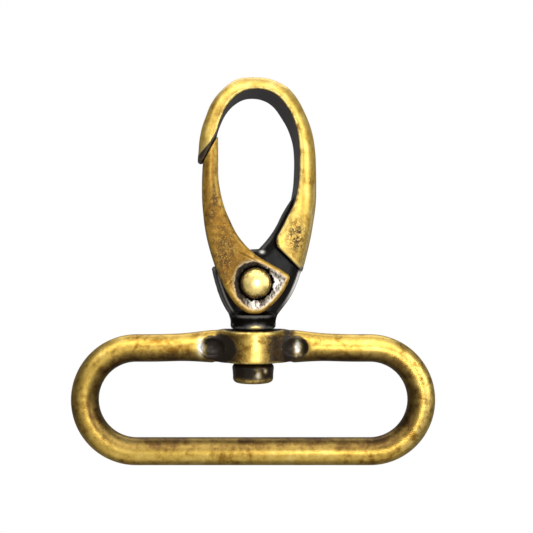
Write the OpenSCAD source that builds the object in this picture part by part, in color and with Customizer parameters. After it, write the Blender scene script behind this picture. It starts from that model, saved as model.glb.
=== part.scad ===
// Swivel snap hook with a spring gate and an oval strap loop.
// +Z runs up the swivel axis, X lies along the loop, and the rivet's domed head faces -Y.
// The origin is on the swivel axis, under the middle of the loop's bottom bar.

/* [Strap loop] */
// Clear width of the slot that takes the strap
slot_w = 38; // [34:1:42]
// Clear height of the strap slot
slot_h = 9.3; // [9:0.1:10]
// Thickness of the loop's round bar
bar_d = 3.4; // [3.2:0.1:3.8]

/* [Swivel] */
// Outer diameter of the boss in the loop's top bar
boss_d = 7.6; // [7:0.1:8]
// Height of the boss
boss_h = 4.1; // [3.8:0.1:4.2]
// Diameter of the hook's neck, which turns on the boss
neck_d = 5.5; // [5.2:0.1:5.8]
// Diameter of the swivel pin where it passes through the boss
pin_d = 3; // [2.8:0.1:3.2]
// Diameter of the swivel pin's head
pin_head_d = 5.2; // [4.8:0.1:5.6]
// Height of the swivel pin's head
pin_head_h = 2.4; // [2:0.1:2.6]
// How far the hook stands turned on its swivel at rest, in degrees
hook_turn = 4.5; // [0:0.5:10]

/* [Hook] */
// Depth of the hook arm, front to back
arm_depth = 6.3; // [6:0.1:6.6]
// Thickness of the flat tongue that the gate straddles
tongue_t = 3.2; // [3:0.1:3.3]
// Diameter of the hook's hole for the swivel pin's tenon
tenon_d = 2; // [1.8:0.1:2.1]

/* [Gate] */
// Depth of the gate over both cheeks
gate_depth = 6.2; // [6:0.1:6.4]
// Gap between the tongue and each cheek
cheek_gap = 0.1; // [0.05:0.05:0.15]
// Gap between the gate's tip and the hook's nose
scarf_gap = 0.14; // [0.1:0.02:0.2]

/* [Rivet and spring] */
// Diameter of the gate rivet's shank
rivet_d = 2.2; // [2:0.1:2.3]
// Diameter of the gate rivet's domed head
rivet_head_d = 3.7; // [3.4:0.1:3.8]
// Thickness of the spring's wire
wire_d = 0.55; // [0.5:0.05:0.6]
// Number of turns in the spring's coil
coil_turns = 2.75; // [1.75:1:2.75]

/* [Hidden] */
$fn = 64;
EPS = 0.01;
RUNNING_GAP = 0.08; // radial and axial play of the swivel
PRESS_GAP = 0.01;
PIVOT_GAP = 0.05;

// Strap loop
bar_r = bar_d / 2;
end_r = (slot_h + bar_d) / 2; // radius of the round ends, along the bar's middle
straight = slot_w - slot_h; // length of the straight stretches
top_bar_z = bar_r + 2 * end_r;
BOSS_RISE = 0.3;
boss_z = top_bar_z + BOSS_RISE; // middle of the boss
boss_low = boss_z - boss_h / 2;
boss_top = boss_z + boss_h / 2;
flare_x = 7.2; // where the bar starts to widen into the boss
flare_depth = 3.2;
flare_h = boss_h - 0.3; // lower than the boss, so that its two rims stand clear
dimple_x = 5.2;
dimple_r = 1.6;
dimple_y = 2.7; // distance of the dimple's centre from the loop's middle plane

// Neck and pivot
neck_low = boss_top + RUNNING_GAP;
NECK_H = 1.6;
NECK_CHAMFER = 0.3;
neck_top = neck_low + NECK_H;
PIVOT_RISE = 5.7;
pivot = [0.15, boss_top + PIVOT_RISE];
tenon_h = 2.1;

// Hook arm: matching points along its inner and outer edges, from the nose over the top
// to below the step, measured in millimetres from the pivot
ARM_INNER = [
    [-4.75, 14.3], [-4.65, 17.1], [-4.15, 19.6], [-2.95, 21.9], [-1.25, 23.15],
    [0.45, 23.4], [2.25, 22.9], [3.85, 21.2], [4.85, 18.7], [5.3, 15.3],
    [5.15, 12.2], [4.35, 9], [3.15, 6.6], [2.05, 5.1], [0.65, 3.5]
];
ARM_OUTER = [
    [-6.85, 13.9], [-6.85, 16.8], [-6.25, 19.5], [-4.85, 22.25], [-2.45, 24.35],
    [0.25, 25.05], [2.95, 24.45], [5.35, 22.3], [6.75, 19.35], [7.45, 15.9],
    [7.55, 12.3], [7.25, 8.3], [6.75, 5.5], [6.15, 3.1], [5.45, 0.7]
];
ARM_CORNER = 2.6; // roundness of the arm's outer side: 2 is an ellipse, more is squarer
NOSE_TIP_Z = 14.6;
NOSE_SLIM = 0.72; // share of the arm's depth left at the nose's tip
STEP = [2.05, 5.1]; // inner end of the step down to the tongue
STEP_ANGLE = 44;

// Scarf between the gate's tip and the nose
SCARF = [-5.55, 16];
SCARF_ANGLE = 28.6;

// Tongue: its outline below the step, from the pivot
tongue_r = 4.1; // round top, which the gate's slot turns around
TONGUE_LEFT = [
    [-2.8, -4.7], [-3.1, -4.1], [-3.6, -3.3], [-4.2, -1.9], [-4.75, -0.3], [-5.15, 1.3],
    [-5.25, 1.9]
];
TONGUE_RIB = [[1.2, 4.8], [1.8, 5.7], [2.6, 7], [3.45, 8.6], [4.25, 9.9], [5.1, 11.5]];
TONGUE_RIGHT = [
    [7, 11.3], [7.05, 8.3], [6.6, 5.5], [6, 3.1], [5.35, 0.5], [4.65, -1], [3.85, -2.4],
    [2.8, -4.1], [2.5, -4.7]
];

// Gate: matching points along its inner and outer edges, from above the scarf to the
// bottom of the cheeks, from the pivot
GATE_INNER = [
    [-4.55, 18.6], [-4.45, 15.8], [-4.45, 13.2], [-4.2, 11], [-3.7, 8.9], [-3, 7.2],
    [-2.1, 5.8], [-0.6, 3.75], [1.6, 2.45], [3.4, 1.45], [4.1, 0.5], [3.6, -0.8],
    [2.6, -2.05], [1.2, -3.3], [0.25, -3.75]
];
GATE_OUTER = [
    [-6.5, 17], [-6.45, 14.3], [-6.45, 11.9], [-6.4, 9.6], [-6.2, 7.7], [-5.95, 6],
    [-5.65, 4.5], [-5.35, 3.3], [-5, 2.2], [-4.6, 1.1], [-4.15, 0.05], [-3.55, -0.95],
    [-2.75, -2.1], [-1.45, -3.35], [-0.25, -3.75]
];
GATE_CORNER = 3.4;
GATE_SLOT_R = 4.6;
SPINE_END = 157; // angle of the spine's lower end about the pivot, from +X

// Rivet seat in each cheek, and the heads that stand in the seats
SEAT_R = 2.1;
SEAT_DEEP = 0.25;
FRONT_RIM = 0.5; // straight side of the head, below its dome
FRONT_DOME = 0.5;
BACK_RIM = 0.4;
BACK_DOME = 0.45;
BACK_HEAD_D = rivet_head_d - 0.1;

// Spring pocket, open at the tongue's back
POCKET_R = 2.2;
POCKET_DEEP = 2.3;
coil_r = 1.7; // to the middle of the wire
coil_pitch = wire_d + 0.05;
FIXED_LEG_ANGLE = -100;
gate_leg_angle = FIXED_LEG_ANGLE + 360 * coil_turns - 720; // where the other leg leaves
LEG_SLOT_W = 0.8;
FIXED_LEG = 1.2; // how far the fixed leg reaches beyond the coil
LEG_PLAY = 0.15;
COIL_PLAY = 0.1; // between the coil and the pocket's floor
GATE_LEG_R = 3.35; // where the other leg turns into the rear cheek
GATE_LEG_TIP = 0.7;
LEG_HOLE_R = 0.4;
WINDOW_SPREAD = 40;

// Smooth curve through a list of points, with n steps between neighbours
function between(a, b, c, d, t) =
    let (
        slope = c - a,
        bend = 2 * a - 5 * b + 4 * c - d,
        twist = 3 * b - a - 3 * c + d
    ) 0.5 * (2 * b + slope * t + bend * t * t + twist * t * t * t);
function smooth(points, n) =
    let (last = len(points) - 1) [
        for (i = [0:last - 1], k = [0:n - 1])
            between(
                points[max(i - 1, 0)], points[i], points[i + 1], points[min(i + 2, last)], k / n
            ),
        points[last]
    ];
function polar(r, a) = [r * cos(a), r * sin(a)];

// One D-shaped section: a flat wall at the inner edge and a round side to the outer edge
function d_section(inner, outer, half_depth, corner) = [
    for (a = [-90:15:90])
        let (
            along = pow(max(cos(a), 0), 2 / corner),
            y = half_depth * sign(a) * pow(abs(sin(a)), 2 / corner),
            p = inner + (outer - inner) * along
        ) [p.x, y, p.y]
];

// Joins rings of equal point counts into one closed solid
module skin(rings) {
    n = len(rings[0]);
    last = len(rings) - 1;
    polyhedron(
        points = [for (ring = rings) each ring],
        faces = [
            [for (j = [0:n - 1]) j],
            for (i = [0:last - 1], j = [0:n - 1]) each [
                [i * n + j, (i + 1) * n + j, (i + 1) * n + (j + 1) % n],
                [i * n + j, (i + 1) * n + (j + 1) % n, i * n + (j + 1) % n]
            ],
            [for (j = [n - 1:-1:0]) last * n + j]
        ]
    );
}

// Turns the hook and everything on it about the swivel
module on_swivel() {
    rotate([0, 0, hook_turn]) children();
}

module at_pivot() {
    translate([pivot.x, 0, pivot.y]) children();
}

// Plate of a given thickness, from an outline in the XZ plane
module plate(outline, thickness) {
    rotate([90, 0, 0]) linear_extrude(thickness, center = true) polygon(outline);
}

module cross_cylinder(r, h, y = 0) {
    translate([0, y, 0]) rotate([90, 0, 0]) cylinder(r = r, h = h, center = true);
}

// The space on one side of the scarf: side 1 is the gate's side, -1 the nose's
module scarf_side(side) {
    reach = 6;
    translate([SCARF.x, 0, SCARF.y]) rotate([0, SCARF_ANGLE, 0])
        translate([side * (reach - scarf_gap) / 2, 0, 0])
            cube([reach, 2 * reach, 2 * reach], center = true);
}

module loop_end(side) {
    translate([side * straight / 2, 0, bar_r + end_r])
        rotate([90, 0, 0]) rotate([0, 0, side * 90 - 180])
            rotate_extrude(angle = 180) translate([end_r, 0]) circle(bar_r);
}

module straight_bar(z, from, to) {
    translate([from, 0, z]) rotate([0, 90, 0]) cylinder(r = bar_r, h = to - from);
}

// The bar widens in height, and narrows in depth, where it meets the boss
module flare(side) {
    hull() {
        translate([side * flare_x, 0, top_bar_z]) rotate([0, 90, 0])
            cylinder(r = bar_r, h = EPS, center = true, $fn = 32);
        translate([side * boss_d / 3, 0, boss_z])
            cube([EPS, flare_depth, flare_h], center = true);
    }
}

module strap_loop() {
    color("darkgoldenrod") difference() {
        union() {
            straight_bar(bar_r, -straight / 2, straight / 2);
            for (side = [-1, 1]) {
                loop_end(side);
                flare(side);
            }
            straight_bar(top_bar_z, -straight / 2, -flare_x);
            straight_bar(top_bar_z, flare_x, straight / 2);
            translate([0, 0, boss_low]) cylinder(d = boss_d, h = boss_h);
        }
        translate([0, 0, boss_low - 1]) cylinder(d = pin_d + 2 * RUNNING_GAP, h = boss_h + 2);
        for (x = [-dimple_x, dimple_x], y = [-dimple_y, dimple_y])
            translate([x, y, boss_z]) sphere(dimple_r);
    }
}

module swivel_pin() {
    head_top = boss_low - RUNNING_GAP;
    head_low = head_top - pin_head_h;
    head_r = pin_head_d / 2;
    corner_r = 0.6;
    head = [
        [0, head_low],
        for (a = [-90:22.5:0]) [head_r - corner_r, head_low + corner_r] + polar(corner_r, a),
        [head_r, head_top],
        [0, head_top]
    ];
    color("sienna") union() {
        rotate_extrude() polygon(head);
        translate([0, 0, head_top]) cylinder(d = pin_d, h = neck_low - head_top);
        translate([0, 0, neck_low]) cylinder(d = tenon_d, h = tenon_h);
    }
}

// Depth of the arm's half section: it slims towards the nose's tip
function arm_half(z) =
    let (slim = min(1, max(0, (z - NOSE_TIP_Z) / 3)))
    arm_depth / 2 * (NOSE_SLIM + (1 - NOSE_SLIM) * slim * (2 - slim));

module arm() {
    steps = 3;
    inner = smooth(ARM_INNER, steps);
    outer = smooth(ARM_OUTER, steps);
    half_way = len(inner) / 2;
    difference() {
        skin([
            for (i = [len(inner) - 1:-1:0])
                let (half_depth = i < half_way ? arm_half(inner[i].y) : arm_depth / 2)
                d_section(inner[i], outer[i], half_depth, ARM_CORNER)
        ]);
        scarf_side(1);
        translate([SCARF.x - 5, 0, NOSE_TIP_Z - 10]) cube([10, 10, 20], center = true);
        translate([STEP.x, 0, STEP.y]) rotate([0, STEP_ANGLE, 0])
            translate([5, 0, -10]) cube([20, 10, 20], center = true);
    }
}

module tongue() {
    shoulder = 155;
    outline = concat(
        smooth(TONGUE_LEFT, 3),
        [for (a = [shoulder:-5:85]) polar(tongue_r, a)],
        smooth(TONGUE_RIB, 2),
        smooth(TONGUE_RIGHT, 2)
    );
    plate(outline, tongue_t);
}

// Round pocket for the coil, a slot for the fixed leg and a window for the moving one
module spring_pocket() {
    y = tongue_t / 2 - POCKET_DEEP / 2 + EPS;
    deep = POCKET_DEEP + 2 * EPS;
    cross_cylinder(POCKET_R, deep, y);
    leg_reach = coil_r + wire_d / 2 + FIXED_LEG + LEG_PLAY;
    translate([0, y, 0]) rotate([0, -FIXED_LEG_ANGLE, 0])
        translate([leg_reach / 2, 0, 0]) cube([leg_reach, deep, LEG_SLOT_W], center = true);
    low = gate_leg_angle - WINDOW_SPREAD;
    window = [[0, 0], for (a = [low:10:gate_leg_angle + 10]) polar(tongue_r + 1, a)];
    translate([0, y, 0]) plate(window, deep);
}

module hook_body() {
    color("goldenrod") on_swivel() difference() {
        union() {
            at_pivot() {
                arm();
                tongue();
            }
            translate([0, 0, neck_low])
                cylinder(d1 = neck_d - 2 * NECK_CHAMFER, d2 = neck_d, h = NECK_CHAMFER);
            translate([0, 0, neck_low + NECK_CHAMFER])
                cylinder(d = neck_d, h = neck_top - neck_low - NECK_CHAMFER);
        }
        at_pivot() {
            cross_cylinder(rivet_d / 2 + PRESS_GAP, arm_depth);
            spring_pocket();
        }
        translate([0, 0, neck_low - 1]) cylinder(d = tenon_d + 2 * PRESS_GAP, h = tenon_h + 1.1);
    }
}

module gate() {
    steps = 3;
    inner = smooth(GATE_INNER, steps);
    outer = smooth(GATE_OUTER, steps);
    slot_t = tongue_t + 2 * cheek_gap;
    far = 9;
    below_spine = [
        [0, 0], polar(far, SPINE_END), polar(far, SPINE_END + 30), [-2, -far], [far, -far]
    ];
    color("gold") on_swivel() at_pivot() difference() {
        skin([
            for (i = [0:len(inner) - 1])
                d_section(inner[i], outer[i], gate_depth / 2, GATE_CORNER)
        ]);
        scarf_side(-1);
        cross_cylinder(GATE_SLOT_R, slot_t);
        plate(below_spine, slot_t);
        cross_cylinder(rivet_d / 2 + PIVOT_GAP, gate_depth + 1);
        for (side = [-1, 1])
            cross_cylinder(SEAT_R, 2 * SEAT_DEEP, side * gate_depth / 2);
        leg = polar(GATE_LEG_R, gate_leg_angle);
        translate([leg.x, 0, leg.y])
            cross_cylinder(LEG_HOLE_R, GATE_LEG_TIP + 0.2, (slot_t + GATE_LEG_TIP) / 2);
    }
}

// Head of the rivet: a short rim under a spherical dome
module rivet_head(head_r, rim, dome) {
    ball_r = (head_r * head_r + dome * dome) / (2 * dome);
    cylinder(r = head_r, h = rim);
    intersection() {
        translate([0, 0, rim + dome - ball_r]) sphere(ball_r);
        translate([0, 0, rim - EPS]) cylinder(r = head_r, h = dome + 1);
    }
}

module gate_rivet() {
    seat = gate_depth / 2 - SEAT_DEEP + PIVOT_GAP / 2;
    color("khaki") on_swivel() at_pivot() {
        cross_cylinder(rivet_d / 2, 2 * seat);
        translate([0, -seat + EPS, 0]) rotate([90, 0, 0])
            rivet_head(rivet_head_d / 2, FRONT_RIM, FRONT_DOME);
        translate([0, seat - EPS, 0]) rotate([-90, 0, 0])
            rivet_head(BACK_HEAD_D / 2, BACK_RIM, BACK_DOME);
    }
}

// Round wire along a line of points
module sweep_wire(line, r, sides) {
    last = len(line) - 1;
    function unit(v) = v / norm(v);
    function heading(i) =
        let (ahead = min(i, last - 1), behind = max(i - 1, 0))
        unit(unit(line[ahead + 1] - line[ahead]) + unit(line[behind + 1] - line[behind]));
    skin([
        for (i = [0:last])
            let (
                t = heading(i),
                u = unit(cross(t, [0, 1, 0])),
                v = cross(t, u)
            ) [
                for (k = [0:sides - 1])
                    let (a = 360 * k / sides) line[i] + r * (u * cos(a) + v * sin(a))
            ]
    ]);
}

module gate_spring() {
    sweep = 360 * coil_turns;
    count = round(coil_turns * 16);
    y0 = tongue_t / 2 - POCKET_DEEP + wire_d / 2 + COIL_PLAY;
    y1 = y0 + coil_pitch * coil_turns;
    fixed = polar(coil_r + FIXED_LEG, FIXED_LEG_ANGLE);
    turn = polar(GATE_LEG_R, gate_leg_angle);
    line = [
        [fixed.x, y0, fixed.y],
        for (i = [0:count])
            let (p = polar(coil_r, FIXED_LEG_ANGLE + sweep * i / count))
            [p.x, y0 + (y1 - y0) * i / count, p.y],
        [turn.x, y1, turn.y]
    ];
    color("silver") on_swivel() at_pivot() {
        sweep_wire(line, wire_d / 2, 8);
        translate([turn.x, 0, turn.y])
            cross_cylinder(wire_d / 2, GATE_LEG_TIP + wire_d / 2, y1 + GATE_LEG_TIP / 2);
    }
}

strap_loop();
swivel_pin();
hook_body();
gate();
gate_rivet();
gate_spring();
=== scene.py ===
"""Swivel snap hook in antique brass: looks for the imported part. Lengths below are in millimetres
unless a name says otherwise, in the part's own frame (+Z along the swivel axis)."""

import math

import bpy
import numpy as np
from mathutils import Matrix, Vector


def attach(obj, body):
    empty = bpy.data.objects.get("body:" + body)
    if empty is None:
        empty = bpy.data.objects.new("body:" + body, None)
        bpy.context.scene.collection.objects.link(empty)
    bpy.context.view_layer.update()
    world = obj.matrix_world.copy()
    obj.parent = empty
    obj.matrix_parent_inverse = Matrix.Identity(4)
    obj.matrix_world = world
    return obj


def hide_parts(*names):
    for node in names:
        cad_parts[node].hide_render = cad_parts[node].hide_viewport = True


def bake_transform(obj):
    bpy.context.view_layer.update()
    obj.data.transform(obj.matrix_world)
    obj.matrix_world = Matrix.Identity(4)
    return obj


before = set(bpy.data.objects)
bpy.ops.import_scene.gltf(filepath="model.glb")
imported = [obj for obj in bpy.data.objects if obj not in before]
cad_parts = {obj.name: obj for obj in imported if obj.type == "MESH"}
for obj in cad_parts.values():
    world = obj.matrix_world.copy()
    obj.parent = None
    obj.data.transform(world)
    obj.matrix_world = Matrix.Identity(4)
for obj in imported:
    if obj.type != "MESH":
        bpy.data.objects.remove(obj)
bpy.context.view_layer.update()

MM = 0.001
PIVOT_X, PIVOT_Z = 0.15, 22.45
HOOK_TURN = math.radians(4.5)

EVENING_ROUNDS = 3
EDGE_REACH = 0.35
HIDDEN_REACHES = (0.3, 0.7, 1.4)
# points measured against an outline at one time
BATCH = 20000
# taken off a distance, leaves that cut out
FAR = 30

# ---------------------------------------------------------------- curves and fields


def smooth(points, steps):
    """Catmull-Rom curve through the points."""
    p = np.array(points, float)
    out = []
    for i in range(len(p) - 1):
        a, b, c, d = p[max(i - 1, 0)], p[i], p[i + 1], p[min(i + 2, len(p) - 1)]
        for k in range(steps):
            t = k / steps
            out.append(
                0.5 * (2 * b + (c - a) * t + (2 * a - 5 * b + 4 * c - d) * t * t
                       + (3 * b - a - 3 * c + d) * t ** 3)
            )
    out.append(p[-1])
    return [tuple(q) for q in out]


def arc(cx, cz, r, start, end, steps):
    """Points round a circle, angles in degrees from +X towards +Z."""
    return [
        (cx + r * math.cos(math.radians(a)), cz + r * math.sin(math.radians(a)))
        for a in np.linspace(start, end, steps)
    ]


def polygon_distance(x, z, outline):
    """Distance to a closed outline, negative inside."""
    a = np.array(outline, float)
    b = np.roll(a, -1, axis=0)
    keep = np.hypot(*(b - a).T) > 1e-9
    a, b = a[keep], b[keep]
    out = np.empty(len(x))
    for s in range(0, len(x), BATCH):
        px, pz = x[s:s + BATCH, None], z[s:s + BATCH, None]
        ex, ez = (b - a).T
        wx, wz = px - a[:, 0], pz - a[:, 1]
        t = np.clip((wx * ex + wz * ez) / (ex * ex + ez * ez), 0, 1)
        near = np.sqrt(((wx - ex * t) ** 2 + (wz - ez * t) ** 2).min(axis=1))
        up = (a[:, 1] <= pz) != (b[:, 1] <= pz)
        with np.errstate(divide="ignore", invalid="ignore"):
            cross = a[:, 0] + (pz - a[:, 1]) * ex / ez
        inside = ((up & (px < cross)).sum(axis=1) % 2) == 1
        out[s:s + BATCH] = np.where(inside, -near, near)
    return out


class Outline:
    """Signed distance to a closed outline, kept on a fine grid and read back smoothly."""

    def __init__(self, points, pitch=0.1, margin=2.5, blur=1):
        p = np.array(points, float)
        self.low = p.min(0) - margin
        self.pitch = pitch
        n = np.ceil((p.max(0) + margin - self.low) / pitch).astype(int) + 2
        gx, gz = np.meshgrid(
            self.low[0] + pitch * np.arange(n[0]), self.low[1] + pitch * np.arange(n[1]),
            indexing="ij",
        )
        g = polygon_distance(gx.ravel(), gz.ravel(), points).reshape(n)
        for _ in range(blur):
            h = np.pad(g, 1, mode="edge")
            g = 0.5 * g + 0.125 * (h[2:, 1:-1] + h[:-2, 1:-1] + h[1:-1, 2:] + h[1:-1, :-2])
        self.grid = g

    def __call__(self, x, z):
        n = self.grid.shape
        u = np.clip((x - self.low[0]) / self.pitch, 1, n[0] - 2.001)
        v = np.clip((z - self.low[1]) / self.pitch, 1, n[1] - 2.001)
        i, j = u.astype(int), v.astype(int)
        fu, fv = u - i, v - j

        def weights(t):
            return (
                0.5 * (-t + 2 * t * t - t ** 3), 0.5 * (2 - 5 * t * t + 3 * t ** 3),
                0.5 * (t + 4 * t * t - 3 * t ** 3), 0.5 * (-t * t + t ** 3),
            )

        wu, wv = weights(fu), weights(fv)
        total = 0
        for a in range(4):
            for b in range(4):
                ia = np.minimum(i + a - 1, n[0] - 1)
                jb = np.minimum(j + b - 1, n[1] - 1)
                total = total + wu[a] * wv[b] * self.grid[ia, jb]
        return total


def both(a, b, r):
    """Inside both, with the edge rounded to radius r."""
    return (np.hypot(np.maximum(a + r, 0), np.maximum(b + r, 0))
            + np.minimum(np.maximum(a + r, b + r), 0) - r)


def either(a, b, r):
    """Inside either, with the corner filled to radius r."""
    return -both(-a, -b, r)


def line_side(x, z, px, pz, degrees):
    """Distance past a line through (px, pz): positive on the side its normal points to."""
    a = math.radians(degrees)
    return (x - px) * math.cos(a) + (z - pz) * math.sin(a)


def ramp(t, low, high):
    """0 up to low, 1 from high on, and smooth between."""
    t = np.clip((t - low) / (high - low), 0, 1)
    return t * t * (3 - 2 * t)


def bump(t, width):
    """1 where t is 0, falling away smoothly on both sides."""
    return np.exp(-(t / width) ** 2)


# ---------------------------------------------------------------- solid to mesh


def surface(solid, low, high, pitch):
    """Vertices and quads of the skin where solid(x, y, z) crosses zero."""
    low, high = np.array(low, float), np.array(high, float)
    n = np.ceil((high - low) / pitch).astype(int) + 1
    axes = [low[k] + pitch * np.arange(n[k]) for k in range(3)]
    gx, gy, gz = np.meshgrid(*axes, indexing="ij")
    value = solid(gx.ravel(), gy.ravel(), gz.ravel()).reshape(n)
    cells = n - 1

    def corner(i, j, k):
        return value[i:i + cells[0], j:j + cells[1], k:k + cells[2]]

    corners = {(i, j, k): corner(i, j, k) for i in (0, 1) for j in (0, 1) for k in (0, 1)}
    count = sum((c < 0).astype(np.int8) for c in corners.values())
    active = (count > 0) & (count < 8)
    where = np.argwhere(active)
    index = np.full(cells, -1)
    index[active] = np.arange(len(where))
    total = np.zeros((len(where), 3))
    hits = np.zeros(len(where))
    for axis in range(3):
        others = [a for a in range(3) if a != axis]
        for s in (0, 1):
            for t in (0, 1):
                o = [0, 0, 0]
                o[others[0]], o[others[1]] = s, t
                far = list(o)
                far[axis] = 1
                a, b = corners[tuple(o)][active], corners[tuple(far)][active]
                hit = (a < 0) != (b < 0)
                place = np.repeat(np.array([o], float), len(where), axis=0)
                place[:, axis] = a / np.where(hit, a - b, 1)
                total[hit] += place[hit]
                hits[hit] += 1
    verts = low + pitch * (where + total / hits[:, None])
    quads = []
    for axis in range(3):
        u, v = (axis + 1) % 3, (axis + 2) % 3
        first = [slice(1, -1)] * 3
        first[axis] = slice(0, -1)
        second = list(first)
        second[axis] = slice(1, None)
        a, b = value[tuple(first)] < 0, value[tuple(second)] < 0
        change = np.argwhere(a != b)
        out = a[tuple(change.T)]
        start = change + 1
        start[:, axis] -= 1
        ring = []
        for du, dv in ((-1, -1), (0, -1), (0, 0), (-1, 0)):
            at = start.copy()
            at[:, u] += du
            at[:, v] += dv
            ring.append(index[tuple(at.T)])
        ring = np.array(ring).T
        ring[~out] = ring[~out][:, ::-1]
        quads.append(ring)
    return verts, np.concatenate(quads)


def gradient(solid, p, step=0.01):
    """How the solid's distance changes along each axis, at each point."""
    g = np.empty_like(p)
    for k in range(3):
        a, b = p.copy(), p.copy()
        a[:, k] += step
        b[:, k] -= step
        g[:, k] = (solid(*a.T) - solid(*b.T)) / (2 * step)
    return g


def settle(solid, p, limit, rounds=2):
    """Moves points onto the skin."""
    for _ in range(rounds):
        g = gradient(solid, p)
        size = np.maximum((g * g).sum(1), 0.05)
        move = -(solid(*p.T) / size)[:, None] * g
        length = np.maximum(np.linalg.norm(move, axis=1), 1e-9)
        p = p + move * np.minimum(1, limit / length)[:, None]
    return p


def neighbours(quads):
    """Pairs of vertices that share an edge."""
    e = np.concatenate([quads[:, [0, 1]], quads[:, [1, 2]], quads[:, [2, 3]], quads[:, [3, 0]]])
    return np.unique(np.sort(e, axis=1), axis=0)


def averaged(values, edges, n):
    """The mean of each vertex's neighbours."""
    total = np.zeros((n,) + values.shape[1:])
    count = np.zeros(n)
    np.add.at(total, edges[:, 0], values[edges[:, 1]])
    np.add.at(total, edges[:, 1], values[edges[:, 0]])
    np.add.at(count, edges[:, 0], 1)
    np.add.at(count, edges[:, 1], 1)
    count = np.maximum(count, 1)
    return total / (count[:, None] if values.ndim > 1 else count)


def turned(points):
    """Points of the hook, turned to where it stands on its swivel at rest."""
    c, s = math.cos(HOOK_TURN), math.sin(HOOK_TURN)
    return points @ np.array([[c, s, 0], [-s, c, 0], [0, 0, 1]])


def smooth_object(name, points, faces, on_hook=True):
    """A smooth-shaded object from points in millimetres."""
    placed = turned(points) if on_hook else points
    mesh = bpy.data.meshes.new(name)
    mesh.from_pydata((placed * MM).tolist(), [], faces)
    mesh.polygons.foreach_set("use_smooth", np.ones(len(mesh.polygons), bool))
    obj = bpy.data.objects.new(name, mesh)
    bpy.context.collection.objects.link(obj)
    return obj


class Skin:
    """What painting reads at each point of a piece: its place before the hook is turned, its normal,
    how far it stands out from the mean surface, and how much of the room round it is filled."""

    def __init__(self, piece, points, normal, sharp, hidden):
        self.piece = piece
        self.x, self.y, self.z = points.T
        self.nx, self.ny, self.nz = normal.T
        self.sharp = sharp
        self.hidden = hidden

    def paint(self, **values):
        """Keeps each value, 0 to 1, on the mesh for its material. One that is left out reads as 0."""
        for name, value in values.items():
            layer = self.piece.data.attributes.new(name, "FLOAT", "POINT")
            layer.data.foreach_set("value", np.clip(value, 0, 1).astype(np.float32))


def solid_piece(name, solid, low, high, pitch, on_hook=True):
    """A mesh of the solid inside the box from low to high, about pitch to a face, and its skin."""
    verts, quads = surface(solid, low, high, pitch)
    edges = neighbours(quads)
    n = len(verts)
    verts = settle(solid, verts, pitch)
    for _ in range(EVENING_ROUNDS):
        verts = verts + 0.5 * (averaged(verts, edges, n) - verts)
        verts = settle(solid, verts, pitch, rounds=1)
    verts = settle(solid, verts, pitch)
    g = gradient(solid, verts)
    normal = g / np.maximum(np.linalg.norm(g, axis=1), 1e-9)[:, None]
    flat = verts.copy()
    for _ in range(max(2, int(round((EDGE_REACH / pitch) ** 2)))):
        flat = flat + 0.7 * (averaged(flat, edges, n) - flat)
    sharp = ((verts - flat) * normal).sum(1)
    hidden = np.zeros(n)
    for reach in HIDDEN_REACHES:
        room = solid(*(verts + normal * reach).T) / reach
        hidden += np.clip(1 - room, 0, 1.6) / len(HIDDEN_REACHES)
    obj = smooth_object(name, verts, quads.tolist(), on_hook)
    return obj, Skin(obj, verts, normal, sharp, hidden)


# ---------------------------------------------------------------- hook casting

EYE = smooth(
    [(-4.6, 36.75), (-4.55, 39.35), (-4.4, 40.75), (-4.05, 41.95), (-3.35, 43.45), (-2.4, 44.6),
     (-1.1, 45.45), (0.4, 45.68), (1.8, 45.42), (2.95, 44.72), (3.92, 43.5), (4.72, 42),
     (5.22, 40.05), (5.38, 38.05), (5.35, 36.05), (5.2, 34.15), (4.75, 32.05), (4.05, 30.65),
     (3.3, 29.15), (2.5, 27.75), (1.6, 26.25), (0.6, 24.75)], 6,
) + [(-4, 24.75), (-4.6, 30.75)]
RIM = smooth(
    [(-6.9, 33.65), (-6.85, 36), (-6.8, 37.4), (-6.7, 38.4), (-6.6, 39.6), (-6.3, 41.15),
     (-5.8, 42.6), (-5.2, 44.05), (-4.15, 45.5), (-2.6, 46.85), (-1.2, 47.38), (0.2, 47.47),
     (1.7, 47.38), (3.1, 46.9), (4.35, 46.15), (5.45, 44.8), (6.25, 43.3), (6.9, 41.75),
     (7.35, 40.1), (7.6, 38.2), (7.68, 36.1), (7.7, 34.15), (7.65, 32.15), (7.4, 30.2),
     (7, 27.9), (6.4, 25.35), (5.8, 23.15)], 6,
) + [(0, 22.75), (-6.5, 29.7)]
TONGUE = (
    smooth([(-2.55, 17.35), (-2.75, 18.25), (-3.35, 19.15), (-4, 20.45), (-4.6, 22.15),
            (-4.95, 23.45)], 5)
    + smooth([(-5.08, 24.05), (-5, 24.35), (-4.7, 24.45), (-4.2, 24.4), (-3.75, 24.3)], 4)
    + arc(PIVOT_X, PIVOT_Z, 4.1, 153, 88, 20)
    + smooth([(0.75, 26.6), (1.45, 27.35), (2.1, 28.15), (2.65, 28.95), (3.1, 29.75), (3.45, 30.5),
              (3.85, 31.25), (4.4, 32.15), (5.2, 33.35)], 4)
    + smooth([(7.1, 32.75), (7.15, 30.75), (6.85, 28.15), (6.2, 25.35), (5.65, 23.35),
              (4.95, 21.55), (4.2, 20.25), (3.3, 19.05), (2.75, 18.25), (2.55, 17.35)], 5)
)
eye = Outline(EYE)
rim = Outline(RIM)
tongue_line = Outline(TONGUE)

# the step from the arm's face down to the tongue, and the slanted joint of nose and gate:
# a point on each, and the direction its normal points in
STEP_AT, STEP_NORMAL = (2.35, 27.2), -134
SCARF_AT, SCARF_NORMAL = (-5.4, 38.45), -28.6
SCARF_GAP = 0.14
SCARF_EDGE = 0.14

ARM_HALF = 3.13
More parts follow.
